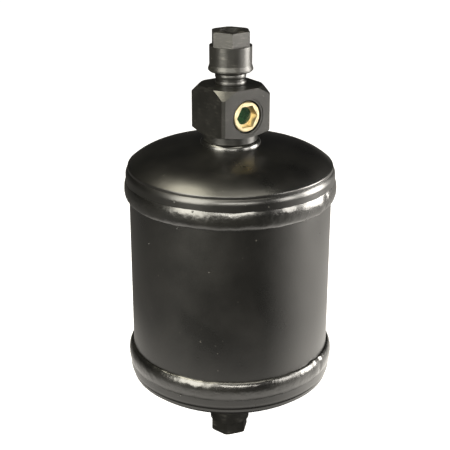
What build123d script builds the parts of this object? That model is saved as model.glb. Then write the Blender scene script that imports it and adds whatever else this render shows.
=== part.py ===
from build123d import *

import os
from math import acos, asin, cos, hypot, pi, radians, sin, sqrt

# Filter drier: a welded steel canister with a ported head block on its upper end, a threaded
# port on its lower end, a sight glass in the block and a screwed dust cap on each port.
# Millimetres. Origin on the canister's axis at mid-shell, +Z towards the head block,
# -Y towards the sight glass.

# ---- Canister ----------------------------------------------------------------------------
shell_radius = 50.8  # 4 in tube
shell_wall = 2.0
joggle_height = 53.4  # from mid-shell to the inner step of each end cap, which stops the tube
tube_end_gap = 0.1
lap_clearance = 0.1  # tube to end cap skirt
cap_wall = 1.5
skirt_length = 8.4  # from the joggle to the skirt's mouth
shoulder_radius = 0.9  # rounding of the joggle outside
dome_inset = 1.1  # skirt outside to dome outside
knuckle_radius = 3.2  # outside radii of the dome, from its edge to its crown
knuckle_end = radians(50)  # slope of the dome's normal where the knuckle ends
haunch_radius = 29.0
haunch_end = radians(78)
seat_radius = 14.2  # flat on the dome that each port sits on
spigot_radius = 9.0
spigot_clearance = 0.1
spigot_reach = 2.0  # past the inside of the dome

# ---- Seam welds, each from the shell up onto the skirt -------------------------------------
seam_toe_drop = 5.5  # from the skirt's mouth down to the bead's foot on the shell
seam_crest_drop = 0.1
seam_crest_bulge = 0.9  # proud of the skirt
seam_end_rise = 4.6  # from the skirt's mouth up to the bead's foot on the skirt

# ---- Ports: 5/8-18 UNF stub over a relieved shank -------------------------------------------
neck_radius = 13.4
port_weld_leg = 1.8
port_weld_height = 2.4
shank_radius = 7.4
collar_height = 2.4
groove_height = 0.9
groove_radius = 6.9
shank_height = 2.5
thread_radius = 15.875 / 2
thread_height = 10.2
thread_chamfer = 0.9
port_bore = 4.75
mouth_chamfer = 1.0

# ---- Head block: square bar, turned at both ends --------------------------------------------
block_width = 28.575  # 1-1/8 in bar
block_height = 23.9
neck_height = 5.75  # from the dome's flat to the block
block_corner = 1.3
block_top_round = 15.4  # radius of the turned top face
block_bottom_round = 14.3
block_bottom_slope = 0.375
lower_flange = 2.5  # neck of the lower port, below the dome's flat

# ---- Sight glass, screwed into the block's -Y face ------------------------------------------
sight_rise = 10.4  # above the block's lower end
sight_head_radius = 7.4
sight_head_height = 2.7
sight_recess = 0.2  # from the block's face to the head's
sight_chamfer = 0.4
sight_head_clearance = 0.8
sight_spotface_radius = 9.3
sight_spotface_depth = 0.25
sight_seal = 0.8
sight_shank_radius = 6.65
sight_shank_clearance = 0.1
sight_length = 9.3
sight_socket = 10.5  # across flats
sight_socket_depth = 3.2
lens_radius = 4.3
lens_height = 3.0
sight_bore = 3.4
indicator_clearance = 0.1
indicator_bore = 1.3
indicator_height = 0.4
sight_passage = 4.0

# ---- Dust caps ---------------------------------------------------------------------------------
dust_cap_length = 19.5
dust_cap_radius = 10.4
dust_cap_hex = 17.46  # 11/16 in across flats
dust_cap_hex_height = 7.1
dust_cap_rim_radius = 9.4
dust_cap_rim_drop = 0.5
dust_cap_lip_radius = 11.0
dust_cap_lip_height = 1.4
dust_cap_flare_height = 3.3
dust_cap_mouth_round = 0.7
dust_cap_offset = 6.7  # mouth above the face that the shank stands on
dust_cap_recess_radius = 5.6
dust_cap_recess_depth = 3.0
thread_clearance = 0.08
seal_height = 1.2
seal_gap = 0.1  # seal edge to cap bore
upper_cap_turn = 0.0  # hex corner from +X
lower_cap_turn = 15.0

# ---- Filter bed, clamped between the joggle and the spring --------------------------------------
plate_height = 1.0
plate_gap = 0.1
plate_ring_pitch = 16.0
plate_rings = 2  # round the middle hole, each with six holes more than the last
plate_hole_radius = 4.5
screen_height = 0.3
pad_height = 6.0
inner_clearance = 0.15  # bed and pads to the tube wall
spring_radius = 18.0
spring_wire = 2.5
spring_height = 19.6  # as fitted, under the dome
spring_half_turns = 5

# ---- Worked out ----------------------------------------------------------------------------------
skirt_inner = shell_radius + lap_clearance
skirt_outer = skirt_inner + cap_wall
skirt_mouth = joggle_height - skirt_length
dome_radius = skirt_outer - dome_inset
dome_base = joggle_height + cap_wall
tube_bore = shell_radius - shell_wall
block_half = block_width / 2


def from_corner(centre, radius, slope):
    """Point of an arc about a centre where the arc's normal has a slope."""
    return centre[0] + radius * cos(slope), centre[1] + radius * sin(slope)


knuckle_centre = (dome_radius - knuckle_radius, dome_base)
haunch_centre = from_corner(knuckle_centre, knuckle_radius - haunch_radius, knuckle_end)
crown_radius = haunch_radius + haunch_centre[0] / cos(haunch_end)
crown_centre = (0.0, haunch_centre[1] - (crown_radius - haunch_radius) * sin(haunch_end))


def crown_height(radius, inset=0.0):
    """Height of the dome's crown at a radius, on its outside or drawn in by an inset."""
    return crown_centre[1] + sqrt((crown_radius - inset) ** 2 - radius**2)


seat_height = crown_height(seat_radius)
lower_port_base = seat_height + lower_flange
block_bottom = seat_height + neck_height
block_top = block_bottom + block_height
sight_height = block_bottom + sight_rise
stub_height = collar_height + groove_height + shank_height + thread_height
bed_radius = tube_bore - inner_clearance

plate_bottom = -joggle_height
screen_bottom = plate_bottom + plate_height
lower_pad_bottom = screen_bottom + screen_height
bed_bottom = lower_pad_bottom + pad_height
spring_top = crown_height(spring_radius + spring_wire / 2, cap_wall)
spring_seat = spring_top - spring_height
upper_plate_bottom = spring_seat - plate_height
upper_pad_bottom = upper_plate_bottom - pad_height


def turned(corners):
    """Solid of revolution about Z from the (radius, height) corners of its outline."""
    return revolve(Plane.XZ * Polygon(*corners, align=None), Axis.Z)


def turned_outline(edges):
    """Solid of revolution about Z from the edges of its outline, drawn as (radius, height)."""
    return revolve(Plane.XZ * make_face(edges), Axis.Z)


def rod(radius, low, high):
    return Pos(0, 0, low) * Cylinder(radius, high - low, align=(Align.CENTER, Align.CENTER, Align.MIN))


def upside_down(solid):
    return Rot(180, 0, 0) * solid


# ---- Canister pieces -------------------------------------------------------------------------------
def make_shell_tube():
    bottom = -joggle_height + plate_height + tube_end_gap
    top = joggle_height - tube_end_gap
    return rod(shell_radius, bottom, top) - rod(tube_bore, bottom, top)


def arc(centre, radius, start, end):
    """Arc of an outline about a centre, between two slopes of its normal."""
    points = (from_corner(centre, radius, slope) for slope in (start, (start + end) / 2, end))
    return ThreePointArc(*points)


def dome_outline(inset, flat_height):
    """Half section of the dome drawn in by an inset, from its edge to the axis at a flat."""
    crown_end = asin((flat_height - crown_centre[1]) / (crown_radius - inset))
    rim = from_corner(knuckle_centre, knuckle_radius - inset, 0)
    flat_end = from_corner(crown_centre, crown_radius - inset, crown_end)
    return [
        arc(knuckle_centre, knuckle_radius - inset, 0, knuckle_end),
        arc(haunch_centre, haunch_radius - inset, knuckle_end, haunch_end),
        arc(crown_centre, crown_radius - inset, haunch_end, crown_end),
        Line(flat_end, (0, flat_height)),
        Line((0, flat_height), (0, dome_base)),
        Line((0, dome_base), rim),
    ]


def make_end_cap():
    """Drawn cap for the upper end: skirt, joggle, dome and the flat that a port sits on."""
    shoulder = (skirt_outer - shoulder_radius, dome_base - shoulder_radius)
    skirt = turned_outline(
        [
            Line((0, skirt_mouth), (skirt_outer, skirt_mouth)),
            Line((skirt_outer, skirt_mouth), (skirt_outer, shoulder[1])),
            arc(shoulder, shoulder_radius, 0, pi / 2),
            Line((shoulder[0], dome_base), (0, dome_base)),
            Line((0, dome_base), (0, skirt_mouth)),
        ]
    )
    outside = skirt + turned_outline(dome_outline(0.0, seat_height))
    inside = rod(skirt_inner, skirt_mouth, joggle_height)
    inside += rod(dome_radius - cap_wall, joggle_height, dome_base)
    inside += turned_outline(dome_outline(cap_wall, seat_height - cap_wall))
    return outside - inside - rod(spigot_radius + spigot_clearance, skirt_mouth, seat_height)


def make_seam_weld():
    """Lap weld at the upper end: one convex bead from the shell up onto the skirt."""
    crest_radius = skirt_outer + seam_crest_bulge
    crest_height = skirt_mouth - seam_crest_drop
    toe_height = skirt_mouth - seam_toe_drop
    end_height = skirt_mouth + seam_end_rise

    def half_bead(foot_radius, rise):
        """Arc from a foot to the crest, upright at the crest."""
        bulge = crest_radius - foot_radius
        radius = (bulge**2 + rise**2) / (2 * bulge)
        slope = asin(rise / radius)
        return arc((crest_radius - radius, crest_height), radius, min(slope, 0), max(slope, 0))

    return turned_outline(
        [
            half_bead(shell_radius, toe_height - crest_height),
            half_bead(skirt_outer, end_height - crest_height),
            Line((skirt_outer, end_height), (skirt_outer, skirt_mouth)),
            Line((skirt_outer, skirt_mouth), (shell_radius, skirt_mouth)),
            Line((shell_radius, skirt_mouth), (shell_radius, toe_height)),
        ]
    )


def make_port_weld():
    """Fillet weld between the upper end cap's dome and the neck that stands on it."""
    top = seat_height + port_weld_height
    toe_radius = neck_radius + port_weld_leg
    toe = (toe_radius, crown_height(toe_radius))
    bulge = (neck_radius + 0.68 * port_weld_leg, seat_height + 0.68 * port_weld_height)
    return turned_outline(
        [
            Line((neck_radius, seat_height), (neck_radius, top)),
            ThreePointArc((neck_radius, top), bulge, toe),
            arc(crown_centre, crown_radius, acos(toe_radius / crown_radius), acos(seat_radius / crown_radius)),
            Line((seat_radius, seat_height), (neck_radius, seat_height)),
        ]
    )


# ---- Ports ----------------------------------------------------------------------------------------------
def threaded_stub(base):
    """Collar, relief groove, shank and thread, standing on a face at height base."""
    groove = base + collar_height
    shank = groove + groove_height
    thread = shank + shank_height
    tip = thread + thread_height
    return turned(
        [
            (0, base),
            (shank_radius, base),
            (shank_radius, groove),
            (groove_radius, groove),
            (groove_radius, shank),
            (shank_radius, shank),
            (shank_radius, thread),
            (thread_radius, thread + (thread_radius - shank_radius)),
            (thread_radius, tip - thread_chamfer),
            (thread_radius - thread_chamfer, tip),
            (0, tip),
        ]
    )


def port_passage(base):
    """Everything that is bored along the axis of a port whose stub stands at height base."""
    tip = base + stub_height
    low = seat_height - cap_wall - spigot_reach
    mouth = turned([(0, tip - mouth_chamfer), (port_bore, tip - mouth_chamfer), (port_bore + mouth_chamfer, tip), (0, tip)])
    return rod(port_bore, low, tip) + mouth


def neck_and_spigot(top):
    """The neck that stands on the dome's flat, with its spigot through the dome."""
    low = seat_height - cap_wall - spigot_reach
    return rod(neck_radius, seat_height, top) + rod(spigot_radius, low, seat_height)


def make_port_block():
    corner_reach = hypot(block_half, block_half)
    on_base = (Align.CENTER, Align.CENTER, Align.MIN)
    bar = Pos(0, 0, block_bottom) * Box(block_width, block_width, block_height, align=on_base)
    bar = chamfer(bar.edges().filter_by(Axis.Z), block_corner)
    ends = turned(
        [
            (0, block_bottom),
            (block_bottom_round, block_bottom),
            (corner_reach, block_bottom + (corner_reach - block_bottom_round) * block_bottom_slope),
            (corner_reach, block_top - (corner_reach - block_top_round)),
            (block_top_round, block_top),
            (0, block_top),
        ]
    )
    body = (bar & ends) + neck_and_spigot(block_bottom) + threaded_stub(block_top)
    return body - port_passage(block_top) - sight_pocket()


def make_lower_port():
    return neck_and_spigot(lower_port_base) + threaded_stub(lower_port_base) - port_passage(lower_port_base)


# ---- Sight glass, drawn along +Z with the block's face at 0 and then turned to face -Y ------------------
def facing_sight(solid):
    return Pos(0, -block_half, sight_height) * Rot(90, 0, 0) * solid


def sight_pocket():
    shank_end = -sight_recess - sight_length
    floor = -sight_recess - sight_head_height - sight_seal
    pocket = rod(sight_head_radius + sight_head_clearance, floor, 0)
    pocket += rod(sight_shank_radius + sight_shank_clearance, shank_end, floor)
    pocket += rod(sight_passage, -block_half, shank_end)
    pocket += rod(sight_spotface_radius, -sight_spotface_depth, 0)
    return facing_sight(pocket)


def make_sight_glass_body():
    face = -sight_recess
    under_head = face - sight_head_height
    body = turned(
        [
            (0, face),
            (sight_head_radius - sight_chamfer, face),
            (sight_head_radius, face - sight_chamfer),
            (sight_head_radius, under_head),
            (sight_shank_radius, under_head),
            (sight_shank_radius, face - sight_length),
            (0, face - sight_length),
        ]
    )
    socket_floor = face - sight_socket_depth
    lens_back = socket_floor - lens_height
    socket = extrude(Pos(0, 0, socket_floor) * RegularPolygon(sight_socket / 2, 6, major_radius=False), sight_socket_depth)
    body -= socket + rod(lens_radius, lens_back, socket_floor) + rod(sight_bore, face - sight_length, lens_back)
    return facing_sight(body)


def make_sight_glass_lens():
    front = -sight_recess - sight_socket_depth
    return facing_sight(rod(lens_radius, front - lens_height, front))


def make_moisture_indicator():
    front = -sight_recess - sight_socket_depth - lens_height
    back = front - indicator_height
    ring = rod(sight_bore - indicator_clearance, back, front) - rod(indicator_bore, back, front)
    return facing_sight(ring)


def make_sight_glass_seal():
    top = -sight_recess - sight_head_height
    bore = sight_shank_radius + sight_shank_clearance
    return facing_sight(rod(sight_head_radius, top - sight_seal, top) - rod(bore, top - sight_seal, top))


# ---- Dust caps --------------------------------------------------------------------------------------------
def make_dust_cap(turn):
    """Cap with its mouth at height 0 and its hexagon at the top."""
    barrel_top = dust_cap_length - dust_cap_hex_height
    depth = stub_height - dust_cap_offset + seal_height
    lip_inner = dust_cap_lip_radius - dust_cap_mouth_round
    body = turned(
        [
            (0, 0),
            (lip_inner, 0),
            (dust_cap_lip_radius, dust_cap_mouth_round),
            (dust_cap_lip_radius, dust_cap_lip_height),
            (dust_cap_radius, dust_cap_flare_height),
            (dust_cap_radius, dust_cap_length - dust_cap_rim_drop),
            (dust_cap_rim_radius, dust_cap_length),
            (0, dust_cap_length),
        ]
    )
    flats = Pos(0, 0, barrel_top) * Rot(0, 0, turn) * RegularPolygon(dust_cap_hex / 2, 6, major_radius=False)
    trimmed = extrude(flats, dust_cap_hex_height) + rod(dust_cap_lip_radius, 0, barrel_top)
    recess = rod(dust_cap_recess_radius, dust_cap_length - dust_cap_recess_depth, dust_cap_length)
    return (body & trimmed) - rod(thread_radius + thread_clearance, 0, depth) - recess


def make_dust_cap_seal(base):
    tip = base + stub_height
    return rod(thread_radius + thread_clearance - seal_gap, tip, tip + seal_height)


# ---- Filter bed ----------------------------------------------------------------------------------------------
def perforated_plate(radius, bottom):
    plate = rod(radius, bottom, bottom + plate_height)
    hole = rod(plate_hole_radius, bottom, bottom + plate_height)
    plate -= hole
    for ring in range(1, plate_rings + 1):
        plate -= PolarLocations(ring * plate_ring_pitch, 6 * ring) * hole
    return plate


def make_hold_down_spring():
    """Round-wire spring between the upper plate and the dome, each half turn an arc on a tilted plane."""
    wire = spring_wire / 2
    low = spring_seat + wire
    rise = (spring_height - spring_wire) / spring_half_turns
    spring = None
    for index in range(spring_half_turns):
        side = 1 if index % 2 == 0 else -1
        start = Vector(side * spring_radius, 0, low + rise * index)
        centre = Vector(0, 0, low + rise * (index + 0.5))
        onward = Vector(0, side, 0)
        section = Plane(start, z_dir=onward) * Circle(wire)
        half_turn = revolve(section, Axis(centre, (start - centre).cross(onward)), 180)
        spring = half_turn if spring is None else spring + half_turn
    return spring


upper_cap = make_end_cap()
upper_stub_mouth = block_top + dust_cap_offset
lower_stub_mouth = lower_port_base + dust_cap_offset

nodes = {
    "shell_tube": make_shell_tube(),
    "top_end_cap": upper_cap,
    "bottom_end_cap": upside_down(upper_cap),
    "top_seam_weld": make_seam_weld(),
    "bottom_seam_weld": upside_down(make_seam_weld()),
    "port_block": make_port_block(),
    "port_block_weld": make_port_weld(),
    "lower_port": upside_down(make_lower_port()),
    "lower_port_weld": upside_down(make_port_weld()),
    "sight_glass_body": make_sight_glass_body(),
    "sight_glass_lens": make_sight_glass_lens(),
    "sight_glass_seal": make_sight_glass_seal(),
    "moisture_indicator": make_moisture_indicator(),
    "upper_dust_cap": Pos(0, 0, upper_stub_mouth) * make_dust_cap(upper_cap_turn),
    "upper_cap_seal": make_dust_cap_seal(block_top),
    "lower_dust_cap": upside_down(Pos(0, 0, lower_stub_mouth) * make_dust_cap(lower_cap_turn)),
    "lower_cap_seal": upside_down(make_dust_cap_seal(lower_port_base)),
    "lower_plate": perforated_plate(skirt_inner - plate_gap, plate_bottom),
    "outlet_screen": rod(bed_radius, screen_bottom, lower_pad_bottom),
    "lower_filter_pad": rod(bed_radius, lower_pad_bottom, bed_bottom),
    "desiccant_bed": rod(bed_radius, bed_bottom, upper_pad_bottom),
    "upper_filter_pad": rod(bed_radius, upper_pad_bottom, upper_plate_bottom),
    "upper_plate": perforated_plate(bed_radius, upper_plate_bottom),
    "hold_down_spring": make_hold_down_spring(),
}

os.makedirs("parts", exist_ok=True)
for name, solid in nodes.items():
    export_step(solid, f"parts/{name}.step")
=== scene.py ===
"""Looks of the filter drier: its materials, threads, seam welds and end caps, in a white studio."""

import math

import bmesh
import bpy
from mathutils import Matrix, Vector, noise


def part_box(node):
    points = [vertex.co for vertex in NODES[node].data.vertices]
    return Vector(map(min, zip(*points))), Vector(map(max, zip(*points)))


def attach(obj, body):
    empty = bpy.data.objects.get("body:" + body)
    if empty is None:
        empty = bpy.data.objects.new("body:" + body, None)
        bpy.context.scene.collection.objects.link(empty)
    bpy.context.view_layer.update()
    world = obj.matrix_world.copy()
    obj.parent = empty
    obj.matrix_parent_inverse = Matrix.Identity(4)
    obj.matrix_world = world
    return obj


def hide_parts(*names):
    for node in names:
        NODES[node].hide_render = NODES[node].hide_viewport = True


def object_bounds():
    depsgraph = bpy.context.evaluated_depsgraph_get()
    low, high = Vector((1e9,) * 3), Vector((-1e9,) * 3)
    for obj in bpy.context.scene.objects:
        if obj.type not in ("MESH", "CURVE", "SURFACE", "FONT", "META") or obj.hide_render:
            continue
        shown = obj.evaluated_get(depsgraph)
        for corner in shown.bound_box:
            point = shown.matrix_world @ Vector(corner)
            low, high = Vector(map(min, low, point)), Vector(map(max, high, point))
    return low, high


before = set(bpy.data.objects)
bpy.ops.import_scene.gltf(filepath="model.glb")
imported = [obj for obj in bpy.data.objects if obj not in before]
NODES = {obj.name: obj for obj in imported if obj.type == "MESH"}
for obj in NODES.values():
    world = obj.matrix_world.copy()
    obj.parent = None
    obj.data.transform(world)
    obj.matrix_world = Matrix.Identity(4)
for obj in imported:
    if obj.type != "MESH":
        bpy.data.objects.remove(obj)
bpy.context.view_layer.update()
MM = 0.001


def outer_radius(node):
    """Outside radius of a turned node, in millimetres."""
    return round(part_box(node)[1].x / MM, 2)


def ends(node, side):
    """Heights of a node's near and far end from mid-shell, in millimetres; side is 1 or -1."""
    return sorted(round(side * corner.z / MM, 2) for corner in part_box(node))


# ---- Camera: the frame's Z is up, and azimuths turn from its -Y towards +X -----------------------
VIEW_AZIMUTH = -35.0
VIEW_ELEVATION = 21.26
VIEW_DISTANCE = 0.54636
VIEW_ROLL = 0.17
AIM_HEIGHT = 0.02291
LENS_MM = 85.52
SENSOR_MM = 36.0
PICTURE_WIDTH_PX = 450.0
AXIS_OFFSET_PX = 5.2  # the drier's axis stands this far right of the picture's middle


def bearing(azimuth, elevation):
    """Unit vector from the object towards a place, with azimuth counted from the camera's own."""
    turn = math.radians(VIEW_AZIMUTH + azimuth)
    rise = math.radians(elevation)
    level = math.cos(rise)
    return Vector((math.sin(turn) * level, -math.cos(turn) * level, math.sin(rise)))


def look_at(obj, target):
    """Turn a camera or a lamp, which look along their own -Z, towards a target."""
    obj.rotation_euler = (target - obj.location).to_track_quat("-Z", "Y").to_euler()


def make_camera():
    data = bpy.data.cameras.new("camera")
    data.lens = LENS_MM
    data.sensor_width = SENSOR_MM
    data.sensor_fit = "HORIZONTAL"
    data.shift_x = -AXIS_OFFSET_PX / PICTURE_WIDTH_PX
    data.clip_start = 0.01
    camera = bpy.data.objects.new("camera", data)
    target = Vector((0, 0, AIM_HEIGHT))
    camera.location = target + bearing(0, VIEW_ELEVATION) * VIEW_DISTANCE
    look_at(camera, target)
    camera.rotation_euler.rotate_axis("Z", math.radians(VIEW_ROLL))
    bpy.context.scene.collection.objects.link(camera)
    bpy.context.scene.camera = camera


# ---- Materials -----------------------------------------------------------------------------------
MIX_FACTOR = 0  # a Mix node's sockets for colours
MIX_FIRST = 6
MIX_SECOND = 7
MIX_RESULT = 2


class Shader:
    """A node material, built from the Principled shader outwards."""

    def __init__(self, name, **sockets):
        self.material = bpy.data.materials.new(name)
        self.material.use_nodes = True
        self.nodes = self.material.node_tree.nodes
        self.links = self.material.node_tree.links
        self.surface = self.nodes["Principled BSDF"]
        for socket, value in sockets.items():
            self.surface.inputs[socket.replace("_", " ")].default_value = value
        self.place = self.nodes.new("ShaderNodeTexCoord").outputs["Object"]

    def node(self, kind, **settings):
        made = self.nodes.new(kind)
        for key, value in settings.items():
            setattr(made, key, value)
        return made

    def feed(self, source, target):
        """Link another node's output to a socket, or set the socket to a constant."""
        if isinstance(source, bpy.types.NodeSocket):
            self.links.new(source, target)
        else:
            target.default_value = source

    def noise(self, scale, detail=3.0, roughness=0.55, distortion=0.0, squeeze=None):
        """Noise in cycles per metre, squeezed along the axes if asked."""
        made = self.node("ShaderNodeTexNoise")
        made.inputs["Scale"].default_value = scale
        made.inputs["Detail"].default_value = detail
        made.inputs["Roughness"].default_value = roughness
        made.inputs["Distortion"].default_value = distortion
        source = self.place
        if squeeze:
            mapping = self.node("ShaderNodeMapping")
            mapping.inputs["Scale"].default_value = squeeze
            self.feed(source, mapping.inputs["Vector"])
            source = mapping.outputs["Vector"]
        self.feed(source, made.inputs["Vector"])
        return made.outputs["Fac"]

    def ramp(self, source, span, levels=(0.0, 1.0)):
        """Straight ramp from one level to another as the source crosses a span."""
        made = self.node("ShaderNodeMapRange")
        made.inputs["From Min"].default_value = span[0]
        made.inputs["From Max"].default_value = span[1]
        made.inputs["To Min"].default_value = levels[0]
        made.inputs["To Max"].default_value = levels[1]
        self.feed(source, made.inputs["Value"])
        return made.outputs["Result"]

    def mix(self, factor, first, second):
        made = self.node("ShaderNodeMix", data_type="RGBA")
        self.feed(factor, made.inputs[MIX_FACTOR])
        self.feed(first, made.inputs[MIX_FIRST])
        self.feed(second, made.inputs[MIX_SECOND])
        return made.outputs[MIX_RESULT]

    def arithmetic(self, operation, first, second):
        made = self.node("ShaderNodeMath", operation=operation)
        self.feed(first, made.inputs[0])
        self.feed(second, made.inputs[1])
        return made.outputs[0]

    def times(self, first, second):
        return self.arithmetic("MULTIPLY", first, second)

    def plus(self, first, second):
        return self.arithmetic("ADD", first, second)

    def facing(self, heading, azimuth):
        """Cosine of the angle between a direction on the floor and an azimuth of the studio."""
        made = self.node("ShaderNodeVectorMath", operation="DOT_PRODUCT")
        self.feed(heading, made.inputs[0])
        made.inputs[1].default_value = bearing(azimuth, 0.0)
        return made.outputs["Value"]

    def colour(self, source):
        self.feed(source, self.surface.inputs["Base Color"])

    def roughness(self, source):
        self.feed(source, self.surface.inputs["Roughness"])

    def bump(self, height, distance, strength=1.0):
        made = self.node("ShaderNodeBump")
        made.inputs["Strength"].default_value = strength
        made.inputs["Distance"].default_value = distance
        self.feed(height, made.inputs["Height"])
        self.feed(made.outputs["Normal"], self.surface.inputs["Normal"])


def rgb(red, green, blue):
    return (red, green, blue, 1.0)


PAINTS = {
    "black_paint": {
        "dark": rgb(0.0018, 0.0018, 0.0015),
        "light": rgb(0.0045, 0.0042, 0.0034),
        "roughness": 0.30,
        "peel": 2.4,
        "gloss": 1.62,
    },
    "weld_paint": {
        "dark": rgb(0.003, 0.003, 0.0026),
        "light": rgb(0.008, 0.0075, 0.006),
        "roughness": 0.25,
        "peel": 1.5,
        "gloss": 1.7,
    },
    "block_paint": {
        "dark": rgb(0.005, 0.005, 0.004),
        "light": rgb(0.014, 0.0135, 0.012),
        "roughness": 0.33,
        "peel": 3.0,
        "gloss": 1.5,
        "wear": 0.25,
    },
    "cap_plastic": {
        "dark": rgb(0.005, 0.005, 0.0045),
        "light": rgb(0.018, 0.0175, 0.0155),
        "roughness": 0.34,
        "peel": 2.4,
        "gloss": 1.5,
        "wear": 0.8,
    },
}
SPECK_COLOUR = rgb(0.16, 0.15, 0.13)
SPECK_COVER = 0.5  # how much of a speck's colour shows
SPECK_LEVELS = (0.77, 0.83)  # of the noise, so that specks are few
SPECK_HEIGHT = 3.0  # against the fine noise of the peel
MOTTLE_HEIGHT = 2.0
PEEL_DEPTH = 0.00003
PEEL_STRENGTH = 0.35
SCRATCH_COLOUR = rgb(0.15, 0.145, 0.13)
SCRATCH_ROUGHNESS = 0.15


def scratches(made, wear):
    """How far the paint is rubbed: lines round the axis, in patches."""
    lines = made.noise(260.0, detail=6.0, roughness=0.7, distortion=0.4, squeeze=(1.0, 1.0, 5.0))
    patches = made.ramp(made.noise(150.0, detail=2.0), (0.45, 0.70))
    return made.times(made.times(made.ramp(lines, (0.50, 0.66)), patches), wear)


def paint(name, dark, light, roughness, peel, gloss, wear=0.0):
    """Black coat: orange peel, faint mottling, dust specks and, where it is handled, scratches."""
    made = Shader(name, IOR=gloss)
    made.surface.inputs["Specular IOR Level"].default_value = 1.0
    mottle = made.noise(45.0, detail=4.0)
    fine = made.noise(900.0, detail=2.0)
    specks = made.ramp(made.noise(520.0, detail=1.0), SPECK_LEVELS)
    coat = made.mix(made.ramp(mottle, (0.35, 0.7)), dark, light)
    coat = made.mix(made.times(specks, SPECK_COVER), coat, SPECK_COLOUR)
    rough = made.ramp(mottle, (0.3, 0.7), (roughness - 0.04, roughness + 0.05))
    if wear:
        rubbed = scratches(made, wear)
        coat = made.mix(rubbed, coat, SCRATCH_COLOUR)
        rough = made.plus(rough, made.times(rubbed, SCRATCH_ROUGHNESS))
    made.colour(coat)
    made.roughness(rough)
    relief = made.plus(fine, made.times(mottle, MOTTLE_HEIGHT))
    relief = made.plus(relief, made.times(specks, SPECK_HEIGHT))
    made.bump(relief, PEEL_DEPTH * peel, PEEL_STRENGTH)
    return made.material


def brass(name):
    made = Shader(name, Metallic=1.0)
    tarnish = made.noise(420.0, detail=4.0)
    made.colour(made.mix(tarnish, rgb(0.62, 0.50, 0.28), rgb(0.82, 0.73, 0.50)))
    made.roughness(made.ramp(tarnish, (0.3, 0.7), (0.34, 0.50)))
    made.bump(made.noise(1600.0), distance=0.00002, strength=0.3)
    return made.material


def glass(name):
    """Green-tinted glass, clear enough to show the indicator behind it."""
    made = Shader(name, IOR=1.47)
    made.surface.inputs["Transmission Weight"].default_value = 0.75
    haze = made.noise(700.0)
    made.colour(made.mix(haze, rgb(0.012, 0.09, 0.03), rgb(0.05, 0.22, 0.07)))
    made.roughness(made.ramp(haze, (0.3, 0.8), (0.02, 0.06)))
    return made.material


def paper(name):
    made = Shader(name, Roughness=0.85)
    fibre = made.noise(2600.0, detail=5.0)
    made.colour(made.mix(fibre, rgb(0.10, 0.26, 0.05), rgb(0.22, 0.42, 0.10)))
    made.bump(fibre, distance=0.00004, strength=0.5)
    return made.material


def rubber(name):
    made = Shader(name, Roughness=0.7)
    grain = made.noise(2200.0)
    made.colour(made.mix(grain, rgb(0.012, 0.012, 0.012), rgb(0.022, 0.022, 0.022)))
    made.bump(grain, distance=0.00003, strength=0.4)
    return made.material


def steel(name):
    made = Shader(name, Metallic=1.0)
    brushed = made.noise(500.0, detail=5.0, squeeze=(1.0, 1.0, 12.0))
    made.colour(made.mix(brushed, rgb(0.42, 0.42, 0.41), rgb(0.58, 0.58, 0.56)))
    made.roughness(made.ramp(brushed, (0.3, 0.7), (0.28, 0.42)))
    return made.material


def felt(name):
    made = Shader(name, Roughness=0.95)
    wool = made.noise(1500.0, detail=6.0)
    made.colour(made.mix(wool, rgb(0.55, 0.53, 0.48), rgb(0.78, 0.76, 0.70)))
    made.bump(wool, distance=0.0003, strength=0.8)
    return made.material


def desiccant(name):
    """Bed of beads: one cell of the pattern is one bead, its colour darker towards the cell's edge
    as painted shade between the beads.
    """
    made = Shader(name, Roughness=0.8)
    cells = made.node("ShaderNodeTexVoronoi")
    cells.inputs["Scale"].default_value = 420.0
    made.feed(made.place, cells.inputs["Vector"])
    bead_relief_and_shade = cells.outputs["Distance"]
    # painted shade: darker towards each bead's edge, where the beads meet
    made.colour(made.mix(bead_relief_and_shade, rgb(0.80, 0.74, 0.62), rgb(0.42, 0.36, 0.28)))
    made.bump(bead_relief_and_shade, distance=0.001, strength=0.9)
    return made.material


PLAIN_MATERIALS = {
    "sight_brass": brass,
    "sight_glass": glass,
    "indicator_paper": paper,
    "seal_rubber": rubber,
    "bare_steel": steel,
    "filter_felt": felt,
    "desiccant": desiccant,
}
NODE_SLOTS = {
    "shell_tube": "black_paint",
    "top_end_cap": "black_paint",
    "bottom_end_cap": "black_paint",
    "top_seam_weld": "weld_paint",
    "bottom_seam_weld": "weld_paint",
    "port_block": "block_paint",
    "port_block_weld": "weld_paint",
    "lower_port": "block_paint",
    "lower_port_weld": "weld_paint",
    "sight_glass_body": "sight_brass",
    "sight_glass_lens": "sight_glass",
    "sight_glass_seal": "seal_rubber",
    "moisture_indicator": "indicator_paper",
    "upper_dust_cap": "cap_plastic",
    "upper_cap_seal": "seal_rubber",
    "lower_dust_cap": "cap_plastic",
    "lower_cap_seal": "seal_rubber",
    "lower_plate": "bare_steel",
    "outlet_screen": "bare_steel",
    "lower_filter_pad": "filter_felt",
    "desiccant_bed": "desiccant",
    "upper_filter_pad": "filter_felt",
    "upper_plate": "bare_steel",
    "hold_down_spring": "bare_steel",
}


def make_materials():
    materials = {name: paint(name, **settings) for name, settings in PAINTS.items()}
    for name, make in PLAIN_MATERIALS.items():
        materials[name] = make(name)
    return materials


def dress(obj, material):
    obj.data.materials.clear()
    obj.data.materials.append(material)


# ---- Edges of the machined and moulded pieces ----------------------------------------------------
EDGE_WIDTHS = {  # millimetres
    "upper_dust_cap": 0.45,
    "lower_dust_cap": 0.45,
    "sight_glass_body": 0.12,
}
STUB_EDGE_WIDTHS = {"port_block": 0.55, "lower_port": 0.20}
EDGE_ANGLE = math.radians(28.0)


def round_edges(obj, width):
    """Small radii on a piece's edges, left off the facets of its round walls."""
    bevel = obj.modifiers.new("edges", "BEVEL")
    bevel.width = width * MM
    bevel.segments = 2
    bevel.limit_method = "ANGLE"
    bevel.angle_limit = EDGE_ANGLE
    bevel.harden_normals = True


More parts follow.
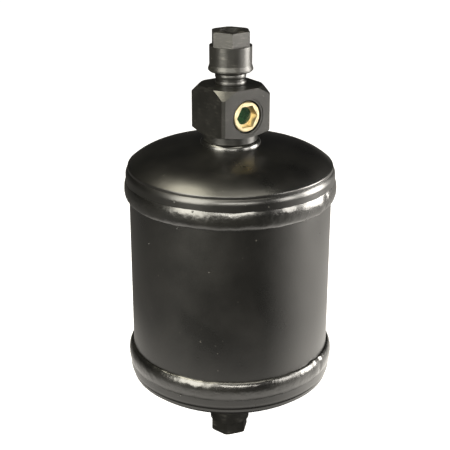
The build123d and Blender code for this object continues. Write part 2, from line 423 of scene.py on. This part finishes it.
# ---- Turned pieces: outlines are (radius, height) in millimetres, drawn for the upper end --------
TURN_STEPS = 288
SHARP_ANGLE = math.radians(32.0)


def arc(centre, radius, start, end, steps=10):
    """Points of an arc from one slope of its normal to another, in degrees."""
    points = []
    for index in range(steps + 1):
        slope = math.radians(start + (end - start) * index / steps)
        points.append((centre[0] + radius * math.cos(slope), centre[1] + radius * math.sin(slope)))
    return points


def ring(mesh, angle, outline, side):
    """Vertices of an outline at one angle round the axis; side is 1 at the top and -1 below."""
    east = math.sin(angle) * MM
    south = -math.cos(angle) * MM
    return [mesh.verts.new((r * east, r * south, side * z * MM)) for r, z in outline]


def join_rings(mesh, rows):
    """Faces between neighbouring closed outlines, right round the axis."""
    for first, second in zip(rows, rows[1:] + rows[:1]):
        corners = list(zip(first, second))
        for (a, b), (c, d) in zip(corners, corners[1:] + corners[:1]):
            mesh.faces.new((a, b, d, c))


def turn_outline(mesh, outline, side, steps):
    """The same closed outline all the way round the axis."""
    angles = [2 * math.pi * step / steps for step in range(steps)]
    join_rings(mesh, [ring(mesh, angle, outline, side) for angle in angles])


def add_piece(name, mesh, body, slot, *replaced):
    """Smooth-shaded object of a finished mesh, riding on a body and replacing any nodes named."""
    data = bpy.data.meshes.new(name)
    bmesh.ops.recalc_face_normals(mesh, faces=mesh.faces)
    for face in mesh.faces:
        face.smooth = True
    mesh.to_mesh(data)
    mesh.free()
    data.set_sharp_from_angle(angle=SHARP_ANGLE)
    piece = bpy.data.objects.new(name, data)
    bpy.context.scene.collection.objects.link(piece)
    data.materials.append(MATERIALS[slot])
    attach(piece, body)
    if replaced:
        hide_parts(*replaced)


# ---- End caps ------------------------------------------------------------------------------------
CAP_WALL = 1.5
SKIRT_RADIUS = outer_radius("top_end_cap")
SKIRT_INNER = SKIRT_RADIUS - CAP_WALL
SKIRT_MOUTH = ends("top_end_cap", 1)[0]
SKIRT_LENGTH = 8.4
SKIRT_END = SKIRT_MOUTH + SKIRT_LENGTH  # the inner step that stops the tube
SHOULDER_RADIUS = 4.5  # rolls the skirt over into the groove
DOME_INSET = 1.1
GROOVE_RISE = 1.6
GROOVE_HEIGHT = 1.05
GROOVE_RADIUS = SKIRT_RADIUS - DOME_INSET  # between the skirt's shoulder and the dome's rim
GROOVE_FLOOR = SKIRT_END + GROOVE_RISE
GROOVE_TOP = GROOVE_FLOOR + GROOVE_HEIGHT
GROOVE_WALL = 0.3  # straight part above the floor
RIM_RADIUS = 0.8
RIM_SLOPE = 50.0
KNUCKLE_RADIUS = 3.2
KNUCKLE_CENTRE = (GROOVE_RADIUS - KNUCKLE_RADIUS, SKIRT_END + CAP_WALL)
HAUNCH_RADIUS = 29.0
HAUNCH_SLOPES = (50.0, 78.0)  # at its lower and upper end
SEAT_RADIUS = 14.2
SPIGOT_HOLE = 9.1
CROWN_STEPS = 14
HAUNCH_STEPS = 16
TIGHT_STEPS = 6


def cap_outline():
    """Section of an end cap: crown, haunch, rim, groove, rolled shoulder, skirt, and the inside."""
    low_slope, high_slope = HAUNCH_SLOPES
    reach = KNUCKLE_RADIUS - HAUNCH_RADIUS
    slope = math.radians(low_slope)
    haunch = (
        KNUCKLE_CENTRE[0] + reach * math.cos(slope),
        KNUCKLE_CENTRE[1] + reach * math.sin(slope),
    )
    slope = math.radians(high_slope)
    crown_radius = HAUNCH_RADIUS + haunch[0] / math.cos(slope)
    crown = (0.0, haunch[1] - (crown_radius - HAUNCH_RADIUS) * math.sin(slope))
    seat = math.degrees(math.acos(SEAT_RADIUS / crown_radius))
    hole = math.degrees(math.acos(SPIGOT_HOLE / (crown_radius - CAP_WALL)))
    rim = (GROOVE_RADIUS - RIM_RADIUS, GROOVE_TOP)
    turn = math.acos(1 - (SKIRT_RADIUS - GROOVE_RADIUS) / SHOULDER_RADIUS)
    shoulder = (SKIRT_RADIUS - SHOULDER_RADIUS, GROOVE_FLOOR - SHOULDER_RADIUS * math.sin(turn))

    outside = arc(crown, crown_radius, seat, high_slope, CROWN_STEPS)
    outside = [(SPIGOT_HOLE, outside[0][1])] + outside
    outside += arc(haunch, HAUNCH_RADIUS, high_slope, low_slope, HAUNCH_STEPS)[1:]
    outside += arc(rim, RIM_RADIUS, RIM_SLOPE, 0.0, TIGHT_STEPS)
    outside += [(GROOVE_RADIUS, GROOVE_FLOOR + GROOVE_WALL)]
    outside += arc(shoulder, SHOULDER_RADIUS, math.degrees(turn), 0.0)
    outside += [(SKIRT_RADIUS, SKIRT_MOUTH), (SKIRT_INNER, SKIRT_MOUTH), (SKIRT_INNER, SKIRT_END)]

    knuckle = arc(KNUCKLE_CENTRE, KNUCKLE_RADIUS - CAP_WALL, 0.0, low_slope, TIGHT_STEPS)
    inside = [(knuckle[0][0], SKIRT_END)] + knuckle
    inside += arc(haunch, HAUNCH_RADIUS - CAP_WALL, low_slope, high_slope)[1:]
    inside += arc(crown, crown_radius - CAP_WALL, high_slope, hole)[1:]
    return outside + inside


def make_end_cap(name, side):
    mesh = bmesh.new()
    turn_outline(mesh, cap_outline(), side, TURN_STEPS)
    add_piece(name + "_skin", mesh, "canister", "black_paint", name)


# ---- Port stubs ----------------------------------------------------------------------------------
STUB_STEPS = 72
THREAD_LENGTH = 10.2
THREAD_PITCH = 25.4 / 18
THREAD_MAJOR = 15.875 / 2
THREAD_ROOT = 7.08
THREAD_CORE = 6.8  # inside of the thread's sleeve, below the stub's surface
THREAD_RUNOUT = 0.9
THREAD_SLACK = 0.01  # takes in the vertices at the thread's very start
TOOTH_STEPS = 12  # points in one pitch
TOOTH_PEAK = 1.25  # height of the tooth's point before it is cut flat at 1
TOOTH_FALL = 2.5  # how far its flanks would fall in one pitch
SHANK_RADIUS = 7.4
SHANK_BANDS = ((5.69, 3.49), (2.39, 0.09))  # collar and shank, as drops below the thread
BAND_RISE = 0.25
BAND_SINK = 0.3  # of a band's edges under the shank's surface


def thread_ends(node, side):
    """First and last height of a stub's thread, which runs to the stub's tip."""
    tip = ends(node, side)[1]
    return tip - THREAD_LENGTH, tip


def thread_outline(start, end, phase):
    """Closed section of a thread sleeve at one place round the stub."""
    points = [(THREAD_CORE, start), (THREAD_ROOT, start)]
    steps = round((end - start) / THREAD_PITCH * TOOTH_STEPS)
    for index in range(1, steps):
        height = start + (end - start) * index / steps
        share = (height / THREAD_PITCH + phase) % 1.0
        tooth = min(1.0, max(0.0, TOOTH_PEAK - TOOTH_FALL * abs(share - 0.5)))
        taper = min(1.0, (height - start) / THREAD_RUNOUT, (end - height) / THREAD_RUNOUT)
        points.append((THREAD_ROOT + (THREAD_MAJOR - THREAD_ROOT) * tooth * taper, height))
    return points + [(THREAD_ROOT, end), (THREAD_CORE, end)]


def turn_down(data, start, side):
    """Cut a stub down to its thread's root, from the thread's start to the tip."""
    pitch_radius = 0.5 * (THREAD_ROOT + THREAD_MAJOR) * MM
    first = (start - THREAD_SLACK) * MM
    for vert in data.vertices:
        radius = vert.co.xy.length
        if side * vert.co.z > first and radius > pitch_radius:
            vert.co.xy *= THREAD_ROOT * MM / radius


def make_thread(name, side):
    """A copy of the stub's own solid turned down to the thread's root, and the thread on it."""
    start, end = thread_ends(name, side)
    data = NODES[name].data.copy()
    turn_down(data, start, side)
    body = bpy.data.objects.new(name + "_body", data)
    bpy.context.scene.collection.objects.link(body)
    round_edges(body, STUB_EDGE_WIDTHS[name])
    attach(body, "canister")
    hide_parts(name)
    mesh = bmesh.new()
    rows = []
    for step in range(STUB_STEPS):
        turn = step / STUB_STEPS
        outline = thread_outline(start, end, side * turn)
        rows.append(ring(mesh, 2 * math.pi * turn, outline, side))
    join_rings(mesh, rows)
    add_piece(name + "_thread", mesh, "canister", "block_paint")


def make_shank_bands(name, node, side):
    """Rounded faces of the collar and the shank below a stub's thread."""
    mesh = bmesh.new()
    start = thread_ends(node, side)[0]
    for low_drop, high_drop in SHANK_BANDS:
        low = start - low_drop
        high = start - high_drop
        half = (high - low) / 2
        radius = (half**2 + BAND_RISE**2) / (2 * BAND_RISE)
        slope = math.degrees(math.asin(half / radius))
        centre = (SHANK_RADIUS + BAND_RISE - radius, low + half)
        foot = SHANK_RADIUS - BAND_SINK
        outline = [(foot, low)] + arc(centre, radius, -slope, slope) + [(foot, high)]
        turn_outline(mesh, outline, side, STUB_STEPS)
    add_piece(name, mesh, "canister", "block_paint")


# ---- Seam welds: sizes in millimetres ------------------------------------------------------------
SHELL_RADIUS = outer_radius("shell_tube")
PLAIN_TOE, PLAIN_END = ends("top_seam_weld", 1)  # of the smooth weld that a bead stands for
BEAD_STEPS = 900
BEAD_ARC = 14  # points from the crest to either foot
BEAD_ROOM = 0.1  # left inside the smooth weld for the rough surface
BEAD_END_ROOM = 0.4
BEAD_CREST_DROP = 0.5
BEAD_CREST = (outer_radius("top_seam_weld") - BEAD_ROOM, SKIRT_MOUTH - BEAD_CREST_DROP)
BEAD_TOE = PLAIN_TOE + BEAD_ROOM  # foot on the shell
BEAD_END = PLAIN_END - BEAD_END_ROOM  # foot on the skirt
BEAD_SINK = 0.25  # of the closing points under the shell and the skirt
BEAD_TUCK = 0.1  # how far past the foot on the skirt the outline closes
BEAD_FALL = 2.4  # power of the curve from the crest to the skirt
SEED_SPREAD = (1.0, 2.7, -1.3)  # places a seed's noise away from another's
LUMP = (5.0, 0)  # each noise: its length along the seam, and its step from the weld's seed
SWAY = (15.0, 3)
EDGE = (4.0, 5)
GRAIN = (1.1, 9)
WAVE = (3.0, 12)
LUMP_SLICE = 0  # heights at which the noises of the feet and the crest are taken
SWAY_SLICE = 40
EDGE_SLICE = 80
TOE_SWAY = 0.30  # how far each noise moves the bead's feet, crest and surface
TOE_LUMP = 0.25
END_SWAY = 0.35
END_EDGE = 0.25
CREST_LUMP = 0.05
CREST_SWAY = 0.03
GRAIN_RISE = 0.05
WAVE_RISE = 0.10
ROUGH_FADE = 0.6  # power of the fade towards both feet
WELDS = (  # piece, node, side, seed
    ("top_seam_bead", "top_seam_weld", 1, 11.0),
    ("bottom_seam_bead", "bottom_seam_weld", -1, 23.0),
)
STOPS = {  # starts and ends of the weld: azimuth, width, swell of the crest, drop of the toe
    "top_seam_bead": ((20.0, 2.6, 0.4, 0.3), (26.0, 1.6, -0.5, 0.0)),
    "bottom_seam_bead": ((20.0, 3.0, 0.4, 0.9), (26.0, 1.5, -0.5, 0.0)),
}


def ring_noise(angle, height, kind, seed):
    """One kind of smooth noise, in -1 to 1, at a place on the canister's wall."""
    scale, step = kind
    radius = SHELL_RADIUS / scale
    point = Vector((radius * math.sin(angle), -radius * math.cos(angle), height / scale))
    return noise.noise(point + Vector([share * (seed + step) for share in SEED_SPREAD]))


def bead_section(angle, seed, stops):
    """Outline of the bead at one place round the canister, from the shell to the skirt."""
    lump = ring_noise(angle, LUMP_SLICE, LUMP, seed)
    sway = ring_noise(angle, SWAY_SLICE, SWAY, seed)
    edge = ring_noise(angle, EDGE_SLICE, EDGE, seed)
    toe = BEAD_TOE + TOE_SWAY * sway + TOE_LUMP * lump
    end = BEAD_END + END_SWAY * sway + END_EDGE * edge
    crest = BEAD_CREST[0] + CREST_LUMP * lump - CREST_SWAY * sway
    for azimuth, width, swell, drop in stops:
        apart = (angle - math.radians(azimuth) + math.pi) % (2 * math.pi) - math.pi
        share = math.exp(-((apart * SHELL_RADIUS / width) ** 2))
        crest += swell * share
        toe -= drop * share
    points = []
    for index in range(BEAD_ARC + 1):
        turn = math.pi / 2 * (1 - index / BEAD_ARC)
        height = BEAD_CREST[1] - (BEAD_CREST[1] - toe) * math.sin(turn)
        points.append((crest - (crest - SHELL_RADIUS) * (1 - math.cos(turn)), height))
    for index in range(1, BEAD_ARC + 1):
        share = index / BEAD_ARC
        radius = crest - (crest - SKIRT_RADIUS) * share**BEAD_FALL
        points.append((radius, BEAD_CREST[1] + (end - BEAD_CREST[1]) * share))
    return points


def rough_section(angle, seed, stops):
    """The bead's outline with a rough surface, closed by a point inside each wall it lies on."""
    rough = []
    points = bead_section(angle, seed, stops)
    for index, (radius, height) in enumerate(points):
        share = math.sin(math.pi * index / (len(points) - 1)) ** ROUGH_FADE
        grain = ring_noise(angle, height, GRAIN, seed)
        wave = ring_noise(angle, height, WAVE, seed)
        rough.append((radius + share * (GRAIN_RISE * grain + WAVE_RISE * wave), height))
    toe, end = rough[0], rough[-1]
    return [(toe[0] - BEAD_SINK, toe[1])] + rough + [(SKIRT_RADIUS - BEAD_SINK, end[1] + BEAD_TUCK)]


def make_bead(name, node, side, seed):
    """Ring of weld metal round one seam."""
    mesh = bmesh.new()
    rows = []
    for step in range(BEAD_STEPS):
        angle = 2 * math.pi * step / BEAD_STEPS
        rows.append(ring(mesh, angle, rough_section(angle, seed, STOPS[name]), side))
    join_rings(mesh, rows)
    add_piece(name, mesh, "canister", "weld_paint", node)


SPATTER = (  # azimuth in degrees from -Y towards +X; radius, height and size in millimetres
    (-54.2, 52.45, 48.7, 0.55),
    (-64.5, 52.4, 51.9, 0.42),
    (-64.1, 50.85, 38.4, 0.38),
    (-85.2, 50.8, 25.7, 0.36),
    (-62.5, 52.4, -49.6, 0.42),
    (74.0, 50.8, 34.5, 0.40),
    (131.0, 52.4, -50.3, 0.45),
    (168.0, 50.8, 36.2, 0.35),
    (-140.0, 50.8, -34.8, 0.40),
)
SPATTER_DENT = 0.15  # share of a bead's size
SPATTER_GRAIN = 2500.0  # cycles per metre of the dents
SPATTER_SPREAD = 900.0  # makes each bead's dents its own


def make_spatter():
    """Beads of weld metal that stuck to the canister beside the seams."""
    mesh = bmesh.new()
    for azimuth, radius, height, size in SPATTER:
        angle = math.radians(azimuth)
        centre = Vector((radius * math.sin(angle), -radius * math.cos(angle), height)) * MM
        made = bmesh.ops.create_icosphere(mesh, subdivisions=3, radius=size * MM)
        for vert in made["verts"]:
            dent = noise.noise(vert.co * SPATTER_GRAIN + centre * SPATTER_SPREAD)
            vert.co *= 1.0 + SPATTER_DENT * dent
            vert.co += centre
    add_piece("weld_spatter", mesh, "canister", "weld_paint")


# ---- Studio: distances in metres -----------------------------------------------------------------
WARM = (1.0, 0.955, 0.88)
WORLD_FILL = 0.02
FLOOR_SIZE = 6.0
FLOOR_SEEN = 0.82  # grey of the floor under its glow, to the camera
FLOOR_ALBEDO = 0.04  # as light bounced onto the object sees it
WHITE_SPAN = (0.4, 1.2)  # from the axis, where the floor's glow rises to full white
WHITE_LEVELS = (0.8, 1.0)
# Painted reflection: the floor glows to glossy rays only, in the pattern set by these numbers
GAP_AZIMUTH = 10.0  # painted reflection: where the glow that only glossy rays see stays dark in front
GAP_COSINES = (0.92, 0.30)  # of half the gap's inner and outer angles
SIDE_AZIMUTH = 90.0  # painted reflection: the glow rises from left to right
SIDE_COSINES = (-0.3, 0.8)
SIDE_GLOW = (0.15, 1.0)
FAR_SPAN = (0.26, 0.50)  # distances from the axis
FAR_GLOW = (1.0, 0.45)
NEAR_SPAN = (0.19, 0.10)
NEAR_GLOW = (0.0, 0.9)
PAINTED_SHADOW_SPAN = (0.065, 0.085)  # painted shadow: the reflected glow is dark inside it, under the drier
LAMP_DISTANCE = 0.8
LAMP_AIM = Vector((0, 0, 0.01))
LAMPS = (  # name, azimuth, elevation, width, height, watts, tint
    ("left_box", -42.0, 24.0, 0.50, 0.75, 8.0, (1.0, 0.96, 0.84)),
    ("top_box", -74.0, 62.0, 0.42, 0.30, 3.0, (1.0, 0.94, 0.74)),
    ("front_top_box", 20.0, 66.0, 0.60, 0.30, 1.6, (1.0, 0.95, 0.80)),
    ("front_low_box", 6.0, 21.0, 0.50, 0.14, 2.3, (1.0, 0.96, 0.86)),
    ("right_low_box", 62.0, 16.0, 0.22, 0.40, 2.2, WARM),
    ("right_box", 98.0, 10.0, 0.42, 0.50, 10.0, WARM),
)


def area_light(name, azimuth, elevation, width, height, watts, tint):
    data = bpy.data.lights.new(name, "AREA")
    data.shape = "RECTANGLE"
    data.size = width
    data.size_y = height
    data.energy = watts
    data.color = tint
    lamp = bpy.data.objects.new(name, data)
    lamp.location = bearing(azimuth, elevation) * LAMP_DISTANCE
    look_at(lamp, LAMP_AIM)
    bpy.context.scene.collection.objects.link(lamp)


def make_world():
    """White to the camera, and a dim even fill to everything else."""
    world = bpy.data.worlds.new("studio")
    world.use_nodes = True
    nodes = world.node_tree.nodes
    links = world.node_tree.links
    background = nodes["Background"]
    path = nodes.new("ShaderNodeLightPath")
    strength = nodes.new("ShaderNodeMapRange")
    strength.inputs["To Min"].default_value = WORLD_FILL
    strength.inputs["To Max"].default_value = 1.0
    links.new(path.outputs["Is Camera Ray"], strength.inputs["Value"])
    links.new(strength.outputs["Result"], background.inputs["Strength"])
    background.inputs["Color"].default_value = rgb(1, 1, 1)
    bpy.context.scene.world = world


def painted_table_reflection(made, flat, length):
    """Painted reflection of a lit table, as a glow that only glossy rays see: a dark gap in front,
    light at the sides and close by, and a painted shadow under the drier.
    """
    heading = made.node("ShaderNodeVectorMath", operation="NORMALIZE")
    made.feed(flat, heading.inputs[0])
    direction = heading.outputs["Vector"]
    gap = made.ramp(made.facing(direction, GAP_AZIMUTH), GAP_COSINES)
    side = made.ramp(made.facing(direction, SIDE_AZIMUTH), SIDE_COSINES, SIDE_GLOW)
    far = made.ramp(length, FAR_SPAN, FAR_GLOW)
    near = made.ramp(length, NEAR_SPAN, NEAR_GLOW)
    # painted shadow: no reflected glow under the drier
    outside_painted_shadow = made.ramp(length, PAINTED_SHADOW_SPAN)
    return made.times(made.plus(made.times(made.times(gap, side), far), near), outside_painted_shadow)


def floor_material():
    """White to the camera, a painted reflection of a lit table to glossy paint, and dark to other
    light.
    """
    made = Shader("floor", Roughness=1.0)
    surface = made.surface
    surface.inputs["Specular IOR Level"].default_value = 0.0
    path = made.node("ShaderNodeLightPath")
    seen = path.outputs["Is Camera Ray"]
    made.feed(made.mix(seen, rgb(*WARM), rgb(1, 1, 1)), surface.inputs["Emission Color"])
    grey = rgb(FLOOR_ALBEDO, FLOOR_ALBEDO, FLOOR_ALBEDO)
    made.colour(made.mix(seen, grey, rgb(FLOOR_SEEN, FLOOR_SEEN, FLOOR_SEEN)))
    flat = made.node("ShaderNodeVectorMath", operation="MULTIPLY")
    made.feed(made.place, flat.inputs[0])
    flat.inputs[1].default_value = (1.0, 1.0, 0.0)
    reach = made.node("ShaderNodeVectorMath", operation="LENGTH")
    made.feed(flat.outputs["Vector"], reach.inputs[0])
    length = reach.outputs["Value"]
    to_camera = made.times(seen, made.ramp(length, WHITE_SPAN, WHITE_LEVELS))
    glow = painted_table_reflection(made, flat.outputs["Vector"], length)
    # painted reflection: the floor's glow reaches glossy rays only
    painted_reflection_strength = made.times(path.outputs["Is Glossy Ray"], glow)
    made.feed(made.plus(to_camera, painted_reflection_strength), surface.inputs["Emission Strength"])
    return made.material


def make_floor():
    mesh = bpy.data.meshes.new("floor")
    half = FLOOR_SIZE / 2
    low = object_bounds()[0][2]
    corners = [(-half, -half, low), (half, -half, low), (half, half, low), (-half, half, low)]
    mesh.from_pydata(corners, [], [(0, 1, 2, 3)])
    floor = bpy.data.objects.new("floor", mesh)
    bpy.context.scene.collection.objects.link(floor)
    mesh.materials.append(floor_material())


# ---- The scene -----------------------------------------------------------------------------------
make_camera()
MATERIALS = make_materials()
for node_name, slot_name in NODE_SLOTS.items():
    dress(NODES[node_name], MATERIALS[slot_name])
for node_name, edge_width in EDGE_WIDTHS.items():
    round_edges(NODES[node_name], edge_width)
make_thread("port_block", 1)
make_thread("lower_port", -1)
make_shank_bands("upper_shank_bands", "port_block", 1)
make_shank_bands("lower_shank_bands", "lower_port", -1)
make_end_cap("top_end_cap", 1)
make_end_cap("bottom_end_cap", -1)
for weld in WELDS:
    make_bead(*weld)
make_spatter()
make_world()
make_floor()
for lamp in LAMPS:
    area_light(*lamp)

bpy.context.scene.view_settings.view_transform = "Standard"
